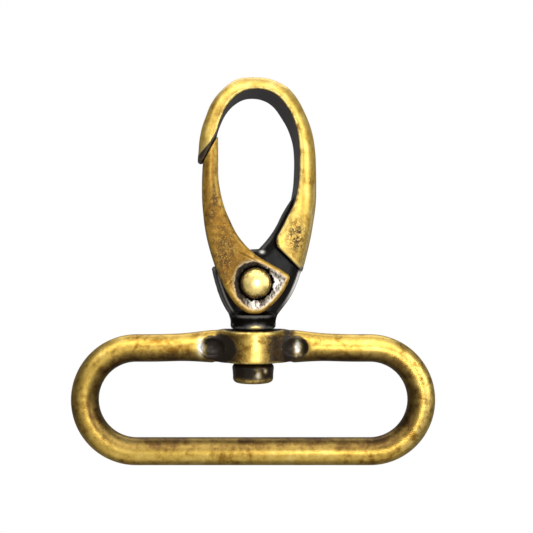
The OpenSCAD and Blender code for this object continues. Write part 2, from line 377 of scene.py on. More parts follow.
# how far the arm's outer side is rounded over in the plane and in depth, and less so at the nose
ROUND_WIDTH, ROUND_DEPTH, ROUND_POWER = 2.2, 2.3, 2.2
NOSE_LESS_WIDTH, NOSE_LESS_DEPTH = 0.9, 0.7
# the nose is thinner than the arm from its tip up to where it has the full depth
NOSE_THINNER = 0.75
NOSE_TIP, NOSE_FULL = 36.95, 39.95
NOSE_CUT = 37.1
FACE_FALL = 0.1
# at the upper right the eye's wall leans into the eye towards the back: the eye's middle, how far
# it leans, where round the eye in degrees, and half the depth that it leans over
EYE_MID_X, EYE_MID_Z = 0.4, 37.5
WALL_LEAN, LEAN_AT, LEAN_SPREAD = 0.28, 60, 26
LEAN_HALF = 3.2

TONGUE_HALF = 1.58
TONGUE_BELLY = 0.12
NECK_R = 2.75
NECK_LOW, NECK_TOP = 16.84, 18.55
NECK_WAIST, WAIST_Z = 0.12, 17.7

# cuts in the tongue: the rivet's bore, and the spring's pocket, with a slot for its fixed leg that
# leans by 10 degrees, and a window for its other leg, whose middle and half width are in degrees
RIVET_BORE = 1.12
POCKET_R, POCKET_FLOOR = 2.2, -0.7
SLOT_HALF, SLOT_REACH = 0.4, 3.35
SLOT_COS, SLOT_SIN = 0.985, 0.174
WINDOW_R = 5.4
WINDOW_AT, WINDOW_HALF = 18, 26
WINDOW_FALL = 0.05


def barrel(x, z, r):
    """Distance to a cylinder round the rivet's axis."""
    return np.hypot(x - PIVOT_X, z - PIVOT_Z) - r


def d_profile(outer, y, half, width, depth, power):
    """A flat-faced section whose outer side falls away: width in the plane, depth along Y."""
    a = np.maximum(1 + outer / width, 0)
    b = np.maximum(1 + (np.abs(y) - half) / depth, 0)
    return ((a ** power + b ** power) ** (1 / power) - 1) * np.minimum(width, depth)


def hook_arm(x, y, z):
    """The arm from the step over the bend to the nose."""
    round_eye = np.degrees(np.arctan2(z - EYE_MID_Z, x - EYE_MID_X))
    lean = WALL_LEAN * bump(round_eye - LEAN_AT, LEAN_SPREAD)
    inner = -eye(x, z) - lean * ramp(y, -LEAN_HALF, LEAN_HALF)
    step = line_side(x, z, *STEP_AT, STEP_NORMAL)
    scarf = line_side(x, z, *SCARF_AT, SCARF_NORMAL)
    full = ramp(z, NOSE_TIP, NOSE_FULL) + (x > 0)
    half = ARM_HALF - NOSE_THINNER * (1 - np.minimum(full, 1))
    half = half - FACE_FALL * ramp(-inner, 0.2, 2.6)
    slim = ramp(-x, 0, 4)
    width = ROUND_WIDTH - NOSE_LESS_WIDTH * slim
    depth = ROUND_DEPTH - NOSE_LESS_DEPTH * slim
    arm = d_profile(rim(x, z), y, half, width, depth, ROUND_POWER)
    arm = both(arm, both(inner, step, 1.1), 0.28)
    left = x < -2.5
    arm = np.where(left, both(arm, scarf + SCARF_GAP / 2, SCARF_EDGE), arm)
    return np.where(left, both(arm, NOSE_CUT - z, 0.3), arm)


def tongue_cuts(x, y, z):
    """The bore, the pocket, the slot and the window."""
    dx, dz = x - PIVOT_X, z - PIVOT_Z
    floor = POCKET_FLOOR - y
    pocket = both(barrel(x, z, POCKET_R), floor, 0.05)
    slot_x = dx * SLOT_COS - dz * SLOT_SIN
    slot_z = dx * SLOT_SIN + dz * SLOT_COS
    slot = np.maximum(np.abs(slot_x) - SLOT_HALF, np.maximum(slot_z, -SLOT_REACH - slot_z))
    round_rivet = np.degrees(np.arctan2(dz, -dx))
    window = np.maximum(np.abs(round_rivet - WINDOW_AT) - WINDOW_HALF, 0) * WINDOW_FALL - 0.02
    window = np.maximum(window, barrel(x, z, WINDOW_R))
    return barrel(x, z, RIVET_BORE), pocket, np.maximum(slot, floor), np.maximum(window, floor)


def hook_solid(x, y, z):
    flat = tongue_line(x, z)
    half = TONGUE_HALF - TONGUE_BELLY + TONGUE_BELLY * ramp(-flat, 0.0, 1.6)
    tongue = both(flat, np.abs(y) - half, 0.38)
    body = either(hook_arm(x, y, z), tongue, 0.22)
    neck = np.hypot(x, y) - NECK_R + NECK_WAIST * bump(z - WAIST_Z, 0.5)
    neck = both(neck, np.maximum(NECK_LOW - z, z - NECK_TOP), 0.28)
    body = either(body, neck, 0.55)
    for cut in tongue_cuts(x, y, z):
        body = both(body, -cut, 0.08)
    return body


hook, hook_skin = solid_piece("hook_casting", hook_solid, (-7.3, -3.6, 16.4), (8.2, 3.6, 48), 0.14)

# ---------------------------------------------------------------- gate casting

GATE = (
    smooth([(-4.5, 41.35), (-4.36, 39.95), (-4.33, 38.35), (-4.33, 36.75), (-4.3, 35.05),
            (-4.08, 33.55), (-3.6, 31.65), (-3, 30.15), (-2.2, 28.5), (-1.25, 27.2), (-0.3, 26.25),
            (0.5, 25.6), (1.7, 24.9), (3.05, 24.15), (3.75, 23.7)], 5)
    + smooth([(4.1, 23.45), (4.27, 23.15), (4.2, 22.8), (3.85, 22), (3.3, 21.1), (2.6, 20.25),
              (1.8, 19.5), (1, 18.95), (0.3, 18.75), (-0.4, 18.75), (-1.3, 19.1), (-2.3, 19.95),
              (-3.3, 21.35), (-3.85, 22.45), (-4.35, 23.65), (-4.95, 25.35), (-5.5, 27.25),
              (-5.88, 29.05), (-6.12, 30.95), (-6.26, 32.75), (-6.28, 34.75), (-6.2, 36.75),
              (-6.1, 38.75)], 5)
)
gate_line = Outline(GATE)

GATE_HALF = 3.08
DISH_DEEP = 0.22
FOLD_DEEP, CREASE_HIGH = 0.07, 0.06
# how far the edge is rounded over in the plane and in depth, and how much more up the arm
EDGE_WIDTH, EDGE_DEPTH, EDGE_POWER = 0.75, 0.6, 2.3
ARM_MORE_WIDTH, ARM_MORE_DEPTH = 0.2, 0.45
ARM_LOW, ARM_HIGH = 26.2, 32.7
ARM_THINNER, ARM_CROWN = 0.2, 0.16
CHEEK_IN, CHEEK_GAP_R = 1.7, 4.6
SPINE_LOW, SPINE_SLOPE = 24.37, 0.35
SEAT_R, SEAT_DEEP = 2.04, 0.6
CHEEK_BORE = 1.16
# the hole for the spring's leg, from the rivet's axis, open from the mid-plane into the rear cheek
LEG_HOLE_X, LEG_HOLE_Z, LEG_HOLE_R, LEG_HOLE_BACK = -3.3, 0.58, 0.4, 2.5


def gate_half(outer, dx, dz, high):
    """Half the gate's depth: dished round the rivet, crowned up the arm, with a fold, a crease
    and a streak in its face."""
    z = dz + PIVOT_Z
    off_rivet = np.hypot(dx, dz) - 0.3 * dx
    dish = ramp(-outer, 0.3, 1.1) * (1 - ramp(off_rivet, 2.9, 4.4)) * (1 - ramp(z, 24.2, 26.4))
    fold = bump(dz - 2.65 + 0.48 * dx, 0.12) * ramp(-np.abs(dx + 1.1), -1.3, -0.9)
    crease = bump(dx - 0.1, 0.1) * ramp(-np.abs(dz + 2.75), -0.7, -0.3)
    streak = bump(dz + 0.15 - 0.78 * (dx + 3.6), 0.16) * ramp(-np.abs(dx + 2.85), -0.95, -0.5)
    crown = ARM_CROWN * ramp(-outer, 0.1, 1.2) - ARM_THINNER
    marks = CREASE_HIGH * (crease + streak) - FOLD_DEEP * fold
    return GATE_HALF - DISH_DEEP * dish + crown * high + marks


def gate_solid(x, y, z):
    outer = gate_line(x, z)
    dx, dz = x - PIVOT_X, z - PIVOT_Z
    high = ramp(z, ARM_LOW, ARM_HIGH)
    half = gate_half(outer, dx, dz, high)
    width = EDGE_WIDTH + ARM_MORE_WIDTH * high
    depth = EDGE_DEPTH + ARM_MORE_DEPTH * high
    body = d_profile(outer, y, half, width, depth, EDGE_POWER)
    scarf = line_side(x, z, *SCARF_AT, SCARF_NORMAL)
    body = both(body, SCARF_GAP / 2 - scarf, SCARF_EDGE)
    gap = both(barrel(x, z, CHEEK_GAP_R), np.abs(y) - CHEEK_IN, 0.12)
    under_spine = both(z - SPINE_LOW - SPINE_SLOPE * (dx + 5), np.abs(y) - CHEEK_IN, 0.12)
    body = both(body, -np.minimum(gap, under_spine), 0.12)
    seat = both(barrel(x, z, SEAT_R), GATE_HALF - SEAT_DEEP - np.abs(y), 0.1)
    body = both(body, -barrel(x, z, CHEEK_BORE), 0.08)
    body = both(body, -seat, 0.1)
    leg = np.hypot(dx - LEG_HOLE_X, dz - LEG_HOLE_Z) - LEG_HOLE_R
    return both(body, -np.maximum(leg, np.maximum(-y, y - LEG_HOLE_BACK)), 0.05)


gate, gate_skin = solid_piece("gate_casting", gate_solid, (-6.8, -3.5, 18), (4.8, 3.5, 41.2), 0.11)

# ---------------------------------------------------------------- strap loop casting

# the bar's centre line: straight runs between two round ends
END_X, END_Z, END_R = 14.35, 8.05, 6.35
BAR_R = 1.69
# beside the boss the upper bar rises and swells in height, and thins in depth
TOP_RISE, RISE_OUT, RISE_IN = 0.22, 13, 4
FLARE_TALL, FLARE_THIN, FLARE_OUT, FLARE_IN = 0.42, 0.1, 9.5, 2.8
BOSS_R = 3.78
BOSS_LOW, BOSS_TOP = 12.67, 16.73
BOSS_BORE = 1.58
# the dimples beside the boss, in front and behind
DENTS = (-4.95, 5.3)
DENT_Y, DENT_Z = 2.35, 14.62
DENT_SIZE = (1.6, 1.7, 1.4)


def loop_solid(x, y, z):
    ax, up = np.abs(x), z - END_Z
    flare = ramp(-ax, -FLARE_OUT, -FLARE_IN) * (up > 0)
    rise = TOP_RISE * ramp(-ax, -RISE_OUT, -RISE_IN) * (up > 0)
    line = np.hypot(np.maximum(ax - END_X, 0), up) - END_R
    line = np.where(ax < END_X, np.abs(up) - END_R, line) - rise
    thin = BAR_R - FLARE_THIN * flare
    bar = (np.hypot(line / (BAR_R + FLARE_TALL * flare), y / thin) - 1) * thin
    ends = np.maximum(BOSS_LOW - z, z - BOSS_TOP)
    boss = both(np.hypot(x, y) - BOSS_R, ends, 0.34)
    body = either(bar, boss, 0.9)
    body = both(body, ends - FAR * ramp(ax, 4.5, 14) - FAR * (up < 0), 0.3)
    for dent_x in DENTS:
        for side in (-1, 1):
            dx = (x - dent_x) / DENT_SIZE[0]
            dy = (side * y - DENT_Y) / DENT_SIZE[1]
            dz = (z - DENT_Z) / DENT_SIZE[2]
            dent = (np.sqrt(dx * dx + dy * dy + dz * dz) - 1) * 1.25
            body = both(body, -dent, 0.18)
    bore = np.maximum(np.hypot(x, y) - BOSS_BORE, END_Z - z)
    return both(body, -bore, 0.12)


loop, loop_skin = solid_piece(
    "loop_casting", loop_solid, (-23, -4.2, -0.5), (23, 4.2, 17.3), 0.15, on_hook=False,
)

# ---------------------------------------------------------------- pins and spring

PIN_HEAD_R, PIN_HEAD_LOW, PIN_HEAD_TOP = 2.58, 10.19, 12.55
PIN_R, PIN_LOW, PIN_TOP = 1.5, 12, 16.8
TENON_R, TENON_LOW, TENON_TOP = 1, 16.5, 18.9
# the head is narrower by this much at its lower end
PIN_TAPER = 0.1


def pin_solid(x, y, z):
    r = np.hypot(x, y)
    taper = PIN_TAPER * ramp(-z, -12.4, -11)
    ends = np.maximum(PIN_HEAD_LOW - z, z - PIN_HEAD_TOP)
    head = both(r - PIN_HEAD_R + taper, ends, 0.55)
    shank = np.maximum(r - PIN_R, np.maximum(PIN_LOW - z, z - PIN_TOP))
    tenon = np.maximum(r - TENON_R, np.maximum(TENON_LOW - z, z - TENON_TOP))
    return np.minimum(np.minimum(head, shank), tenon)


pin, pin_skin = solid_piece("swivel_pin_turned", pin_solid, (-3, -3, 9.8), (3, 3, 19.3), 0.1)

# the domed head in front, and the lower and narrower one at the back, from the mid-plane
FRONT_HEAD_Y, BACK_HEAD_Y = 3.8, 3.66
FRONT_HEAD_R, BACK_HEAD_R = 1.87, 1.82
DOME_R = 3.9
HEAD_UNDER = 2.87
SHANK_R, SHANK_HALF = 1.1, 3


def rivet_solid(x, y, z):
    dx, dz = x - PIVOT_X, z - PIVOT_Z
    top = np.where(y < 0, FRONT_HEAD_Y, BACK_HEAD_Y)
    wide = np.where(y < 0, FRONT_HEAD_R, BACK_HEAD_R)
    dome = np.sqrt(dx * dx + dz * dz + (np.abs(y) - (top - DOME_R)) ** 2) - DOME_R
    r = np.hypot(dx, dz)
    head = both(both(r - wide, dome, 0.4), HEAD_UNDER - np.abs(y), 0.12)
    shank = np.maximum(r - SHANK_R, np.abs(y) - SHANK_HALF)
    return np.minimum(head, shank)


rivet, rivet_skin = solid_piece(
    "rivet_turned", rivet_solid, (-2.2, -4.1, 19.9), (2.5, 4.1, 24.6), 0.075,
)

WIRE_R, WIRE_SIDES = 0.27, 14
COIL_R, COIL_TURNS, COIL_STEPS = 1.7, 2.75, 80
COIL_START = math.radians(-100)
COIL_FRONT, COIL_BACK = -0.325, 1.325
# how far from the rivet's axis the fixed leg runs, outer end first, and then the gate's leg,
# with how far that one goes on to the back
FIXED_LEG = (2.9, 2.3)
GATE_LEG = ((2.6, 0), (3.2, 0.02), (3.35, 0.15), (3.35, 0.75))


def spring_path():
    """Fixed leg, coil round the rivet, gate leg and its turned-in tip, from the rivet's axis."""
    end = COIL_START + 2 * math.pi * COIL_TURNS
    path = [(r * math.cos(COIL_START), COIL_FRONT, r * math.sin(COIL_START)) for r in FIXED_LEG]
    for i in range(COIL_STEPS + 1):
        t = i / COIL_STEPS
        a = COIL_START + (end - COIL_START) * t
        y = COIL_FRONT + (COIL_BACK - COIL_FRONT) * t
        path.append((COIL_R * math.cos(a), y, COIL_R * math.sin(a)))
    path += [(r * math.cos(end), COIL_BACK + back, r * math.sin(end)) for r, back in GATE_LEG]
    return [Vector(p) for p in path]


def spring_mesh(name):
    """The spring's wire as a tube along its path."""
    path = spring_path()
    verts, faces = [], []
    side = Vector((0, 1, 0))
    for i, p in enumerate(path):
        ahead = path[min(i + 1, len(path) - 1)] - path[max(i - 1, 0)]
        ahead.normalize()
        side = (side - ahead * side.dot(ahead)).normalized()
        other = ahead.cross(side)
        for k in range(WIRE_SIDES):
            a = 2 * math.pi * k / WIRE_SIDES
            q = p + (side * math.cos(a) + other * math.sin(a)) * WIRE_R
            verts.append((q.x + PIVOT_X, q.y, q.z + PIVOT_Z))
    for i in range(len(path) - 1):
        this, following = i * WIRE_SIDES, (i + 1) * WIRE_SIDES
        for k in range(WIRE_SIDES):
            n = (k + 1) % WIRE_SIDES
            faces.append((this + k, this + n, following + n, following + k))
    faces.append(tuple(range(WIRE_SIDES))[::-1])
    faces.append(tuple(len(verts) - WIRE_SIDES + k for k in range(WIRE_SIDES)))
    return smooth_object(name, np.array(verts), faces)


spring = spring_mesh("spring_coil")

# ---------------------------------------------------------------- looks: what the surface shows where

# patina is how black the plate is, from patina and in places from painted shade, worn how
# bright, from edge wear and from painted highlights and reflections, silver where the rubbed
# metal shows grey and the patina is at its blackest, and where glints and reflections are painted pale,
# dish where the face round the rivet is scratched bare, mottle how strong the brown blotches are, or in
# the dish how dark it stays, inner how brown a sheltered side is, or how brown the painted shade is at
# the loop's left end and the boss's flanks, and satin how little it shines

# the flat faces lie further than this from the mid-plane
FACE_DEEP = 2
# the loop's upper bar and boss lie higher than this
UPPER_BAR = 11


def oval(x, z, at, size):
    """How many times the oval's own radius, size[0] by size[1], a point is away from its middle."""
    return np.hypot((x - at[0]) / size[0], (z - at[1]) / size[1])


def spot(x, z, at, size):
    """A soft oval patch."""
    return bump(oval(x, z, at, size), 1.0)


def most(*values):
    """The largest of several values, point by point."""
    return np.maximum.reduce(values)


def paint_hook(skin):
    x, z = skin.x, skin.z
    deep = np.abs(skin.y)
    into_eye = -eye(x, z)
    past_step = line_side(x, z, *STEP_AT, STEP_NORMAL)
    past_scarf = line_side(x, z, *SCARF_AT, SCARF_NORMAL)
    eye_wall = ramp(into_eye, -0.34, -0.04) * ramp(-np.abs(skin.ny), -0.8, -0.4)
    below_step = np.maximum(ramp(past_step, -0.16, 0.1), 1 - ramp(z, 23.8, 25))
    flank = (x > -2.2) * (z < 34.5) * ramp(-deep, -2.45, -2.1) * ramp(-rim(x, z), 0.2, 0.55)
    tongue = np.maximum(flank, below_step * ((x > -5.2) & (z < 30.5)))
    near_tip = 1 - ramp(z, 37.4, 39.5)
    # patina along the nose's face at its joint with the gate, widened by painted shade in the gap
    nose_end = (x < -3) * (z > 36) * ramp(past_scarf + 0.55 * near_tip, -0.5, -0.2)
    tip = (x < -3) * (1 - ramp(z, 37.2, 38.0))
    patina = most(eye_wall, tongue, nose_end, tip)

    inset = -tongue_line(x, z)
    # painted highlights on the black tongue: a bright streak down its lower right edge, a faint one
    # inside its left edge, and a small glint up by the step
    right_edge_highlight = ramp(-inset, -0.4, -0.22) * ramp(x, 2.4, 3.2)
    right_edge_highlight = right_edge_highlight * ramp(-z, -24.2, -23.5) * ramp(z, 18.9, 22)
    left_edge_highlight = 0.22 * bump(inset - 0.6, 0.1) * ramp(-x, 2.2, 2.7)
    left_edge_highlight = left_edge_highlight * ramp(-z, -24, -23) * ramp(z, 18.6, 19.4)
    glint = spot(x, z, (1.0, 26.2), (0.255, 0.17))
    tongue_highlights = tongue * most(right_edge_highlight, left_edge_highlight, glint) * ramp(deep, 1.2, 1.4)
    # the neck's lower front edge rubbed bare of patina, with a painted highlight on it
    neck_wear_and_glint = spot(x, z, (0.15, 17.0), (0.75, 0.3)) * (skin.y < 0)
    edges = ramp(skin.sharp, 0.012, 0.045) * (1 - 0.9 * patina)
    skin.paint(
        patina=patina * (1 - neck_wear_and_glint),
        worn=most(edges, tongue_highlights, neck_wear_and_glint),
        silver=tongue * (1 - neck_wear_and_glint),
        inner=0.65 * ramp(into_eye, -0.75, -0.2) * (1 - tongue),
        mottle=1.3 * spot(x, z, (5.0, 28.0), (1.1, 2.0)) * (deep > FACE_DEEP),
        hidden=skin.hidden,
        satin=np.full_like(x, 0.3),
    )


def paint_gate(skin):
    x, z = skin.x, skin.z
    deep = np.abs(skin.y)
    dx, dz = x - PIVOT_X, z - PIVOT_Z
    r = np.hypot(dx, dz)
    inset = -gate_line(x, z)
    dish = ramp(inset, 0.25, 0.7) * (1 - ramp(r - 0.3 * dx, 2.7, 4.0)) * (1 - ramp(z, 24.2, 25.8))
    dish = dish * (deep > FACE_DEEP)
    a = np.arctan2(dz, dx)
    ragged = 0.1 * np.sin(9 * a) + 0.08 * np.sin(17 * a + 1) + 0.06 * np.sin(31 * a)
    seat_ring = ramp(ragged - (r - SEAT_R), -0.22, -0.02) * (deep > FACE_DEEP)
    inside = ramp(CHEEK_IN - deep, -0.3, -0.05) * (z < 28) * ramp(inset, 0.25, 0.5)
    eye_wall = ramp(-inset, -0.2, -0.02) * ramp(-np.abs(skin.ny), -0.3, -0.1)
    eye_wall = eye_wall * ramp(skin.nx + 0.4 * skin.nz, 0.2, 0.7) * (z > 25)
    # painted reflection: the gate's upper inner wall, facing into the eye, painted pale and satin
    # instead of black
    wall_reflection = ramp(skin.nx, 0.2, 0.55) * ramp(z, 29, 32.5) * ramp(-inset, -0.7, -0.4)
    rim_light = ramp(-inset, -0.55, -0.15) * ramp(z, 24.5, 28) * (np.abs(skin.ny) > 0.35)
    edges = ramp(skin.sharp, 0.008, 0.04) * ramp(r, 2.2, 2.6)
    up_the_arm = spot(x - 0.12 * (z - 33), z, (-4.75, 33), (0.6, 4.5))
    low_down = spot(x, z, (-3.6, 26), (1.7, 3.6))
    # in the dish, darker towards its upper left
    dish_dark_upper_left = ramp(0.25 * dz - 0.5 * dx, -0.8, 1.4)
    skin.paint(
        patina=most(inside, seat_ring, 0.85 * eye_wall * (1 - wall_reflection)),
        worn=most(edges, 0.55 * rim_light, wall_reflection),
        dish=dish,
        silver=dish,
        mottle=np.where(dish > 0.3, dish_dark_upper_left, 0.9 * most(up_the_arm, low_down)),
        hidden=skin.hidden * (1 - seat_ring),
        satin=np.maximum(0.45, wall_reflection),
    )


def paint_loop(skin):
    x, z = skin.x, skin.z
    out_x, out_z = np.maximum(np.abs(x) - END_X, 0) * np.sign(x), z - END_Z
    length = np.maximum(np.hypot(out_x, out_z), 1e-6)
    inward = -(skin.nx * out_x + skin.nz * out_z) / length
    r = np.hypot(x, skin.y)
    upper = z > UPPER_BAR
    inner = ramp(inward, -0.05, 0.5) * ((r > 3.9) | ~upper)
    dents = crescent_reflections = np.zeros_like(x)
    # patina in the dimples beside the boss, and a pale sliver in each, a painted reflection
    for dent_x, glint_x, reach in ((DENTS[0], -6.3, 1.9), (DENTS[1], 5.45, 1.7)):
        dent = (1 - ramp(oval(x, z, (dent_x, 14.55), (reach, 1.75)), 0.62, 1.1)) * upper
        crescent_reflection = 1.3 * spot(x, z, (glint_x, 14.6), (0.42, 1.0)) * upper
        dents = np.maximum(dents, dent * (r > 3.3))
        crescent_reflections = np.maximum(crescent_reflections, crescent_reflection * (r > 3.3))
    # patina and painted shade on the boss's sides: a wide dark patch on the left, a narrow band on the
    # right, and brown deepening towards both flanks
    left_side = 1 - ramp(oval(x, z, (-3.8, 14.5), (2.3, 2.2)), 0.6, 1.05)
    right_side = 1 - ramp(oval(x, z, (4.2, 14.4), (0.9, 2.1)), 0.6, 1.05)
    boss_side_shade_and_patina = np.maximum(left_side, 0.9 * right_side) * upper
    boss_flank_shade_and_patina = ramp(np.abs(x), 0.4, 2.4) * (r < 4.6) * (1 - 0.7 * ramp(z, 15.9, 16.4))
    boss_flank_shade_and_patina = np.maximum(boss_flank_shade_and_patina, ramp(-np.abs(x - 4.3), -1.1, -0.4)) * upper
    in_bore = ramp(-r, -2.4, -1.7) * upper
    boss_top = ramp(skin.nz, 0.6, 0.95) * (r < 3.6) * (z > 14)
    # painted highlight: a pale stripe down the middle of the boss's front
    boss_shine = bump(x - 0.5, 0.55) * (skin.ny < -0.5) * (z > 13.2) * (z < 16.4)
    # painted light and shade: the right end's outer side lighter, the left end's outer side browner
    right_end_lit = ramp(x, 16, 20.5) * ramp(-inward, -0.3, 0.4)
    left_end_shaded = 0.5 * ramp(-x, 18, 21.5) * ramp(-inward, -0.2, 0.6)
    edges = ramp(skin.sharp, 0.012, 0.05) * (1 - np.maximum(dents, boss_side_shade_and_patina))
    black = most(dents, 0.9 * boss_side_shade_and_patina, in_bore, 0.9 * boss_top, 0.55 * boss_flank_shade_and_patina, 0.36 * inner)
    skin.paint(
        patina=black * (1 - boss_shine),
        worn=most(edges, crescent_reflections, boss_shine, 0.55 * right_end_lit),
        silver=crescent_reflections,
        inner=most(inner, 0.9 * boss_flank_shade_and_patina, left_end_shaded) * (1 - boss_shine),
        mottle=0.9 * boss_flank_shade_and_patina * (1 - boss_shine),
        hidden=skin.hidden,
    )


def paint_pin(skin):
    x, z = skin.x, skin.z
    low = 1 - ramp(z, 10.3, 11.1)
    # painted highlights: two pale glints on the head's front
    glints = most(spot(x, z, (0.45, 11.3), (0.32, 0.6)), spot(x, z, (1.35, 11.8), (0.2, 0.3)))
    glints = glints * (skin.y < 0)
    skin.paint(
        patina=1 - low, worn=most(0.5 * low, glints), silver=glints,
        mottle=0.7 * low, inner=0.5 * low,
    )


def paint_rivet(skin):
    r = np.hypot(skin.x - PIVOT_X, skin.z - PIVOT_Z)
    rise = np.abs(skin.y)
    skin.paint(
        patina=0.9 * (1 - ramp(rise, 2.92, 3.1)), worn=ramp(rise, 3.3, 3.75),
        mottle=ramp(r, 0.8, 1.6), inner=0.45 * ramp(r, 1.0, 1.75),
    )


paint_hook(hook_skin)
paint_gate(gate_skin)
paint_loop(loop_skin)
paint_pin(pin_skin)
paint_rivet(rivet_skin)

for piece, body, node in (
    (hook, "hook", "hook_body"), (gate, "gate", "gate"), (loop, "loop", "strap_loop"),
    (pin, "hook", "swivel_pin"), (rivet, "hook", "gate_rivet"),
):
    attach(piece, body)
    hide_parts(node)
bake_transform(spring)
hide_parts("gate_spring")

# ---------------------------------------------------------------- materials


class Graph:
    """Short names for building a material's nodes."""

    def __init__(self, name):
        self.material = bpy.data.materials.new(name)
        self.material.use_nodes = True
        self.tree = self.material.node_tree
        self.tree.nodes.clear()

    def plug(self, node, key, value):
        """Sets an input of the node, or links it if the value is another node's output."""
        if isinstance(value, bpy.types.NodeSocket):
            self.tree.links.new(value, node.inputs[key])
        else:
            node.inputs[key].default_value = value

    def node(self, kind, inputs=(), **settings):
        n = self.tree.nodes.new("ShaderNode" + kind)
        for key, value in settings.items():
            setattr(n, key, value)
        for key, value in dict(inputs).items():
            self.plug(n, key, value)
        return n

    def math(self, operation, a, b):
        return self.node("Math", {0: a, 1: b}, operation=operation).outputs[0]

    def plus(self, a, b):
        return self.math("ADD", a, b)

    def minus(self, a, b):
        return self.math("SUBTRACT", a, b)

    def times(self, a, b):
        return self.math("MULTIPLY", a, b)

    def larger(self, a, b):
        return self.math("MAXIMUM", a, b)

    def blended(self, a, part_a, b, part_b):
        """The two values in these parts."""
        return self.plus(self.times(a, part_a), self.times(b, part_b))

    def attribute(self, name):
        return self.node("Attribute", attribute_name=name).outputs["Fac"]

    def ramp(self, value, low, high, to_low=0.0, to_high=1.0):
        n = self.node("MapRange", {"Value": value, "From Min": low, "From Max": high,
                                   "To Min": to_low, "To Max": to_high},
                      interpolation_type="SMOOTHSTEP")
        return n.outputs["Result"]

    def mix(self, factor, a, b):
        """Colour a where factor is 0, b where it is 1, and between them a mixture."""
        n = self.node("Mix", {0: factor}, data_type="RGBA", blend_type="MIX")
        for key, value in ((6, a), (7, b)):
            self.plug(n, key, (*value, 1) if isinstance(value, tuple) else value)
        return n.outputs[2]

    def scaled(self, place, factors):
        n = self.node("VectorMath", {0: place, 1: factors}, operation="MULTIPLY")
        return n.outputs[0]

    def millimetres(self):
        """The piece's own coordinates in millimetres."""
        place = self.node("TexCoord").outputs["Object"]
        return self.scaled(place, (1000, 1000, 1000))

    def noise(self, place, per_mm, detail=3.0, rough=0.55, distortion=0.0):
        n = self.node("TexNoise", {"Vector": place, "Scale": per_mm, "Detail": detail,
                                   "Roughness": rough, "Distortion": distortion})
        return n.outputs["Fac"]

    def bumps(self, height, strength, distance):
        """A normal that leans with the height, which stands for this distance in metres."""
        n = self.node("Bump", {"Strength": strength, "Distance": distance, "Height": height})
        return n.outputs[0]

    def shade_with(self, shader):
        """Sends the shader to the material's surface and gives the material."""
        self.node("OutputMaterial", {"Surface": shader.outputs[0]})
        return self.material


# The patina colours also darken painted shade beside the nose's joint, on the boss's sides and at the
# loop's left end, and the pale colours and SILVER also colour painted highlights and reflections.
GOLD_DEEP = (0.235, 0.115, 0.014)
GOLD_MID = (0.58, 0.385, 0.078)
GOLD_PALE = (0.86, 0.68, 0.24)
HOOK_MID = (0.55, 0.37, 0.075)
GATE_DEEP = (0.105, 0.043, 0.005)
GATE_MID = (0.27, 0.138, 0.015)
GATE_PALE = (0.55, 0.37, 0.08)
RIVET_DEEP = (0.42, 0.25, 0.05)
RIVET_MID = (0.80, 0.62, 0.22)
SILVER = (0.74, 0.72, 0.67)
PATINA = (0.026, 0.018, 0.017)
WARM_PATINA_AND_SHADE = (0.010, 0.006, 0.003)
PATINA_BLACK = (0.002, 0.0015, 0.001)
BROWN_PATINA_AND_SHADE = (0.060, 0.033, 0.013)
STEEL_DARK = (0.30, 0.29, 0.28)
STEEL_PALE = (0.55, 0.54, 0.52)


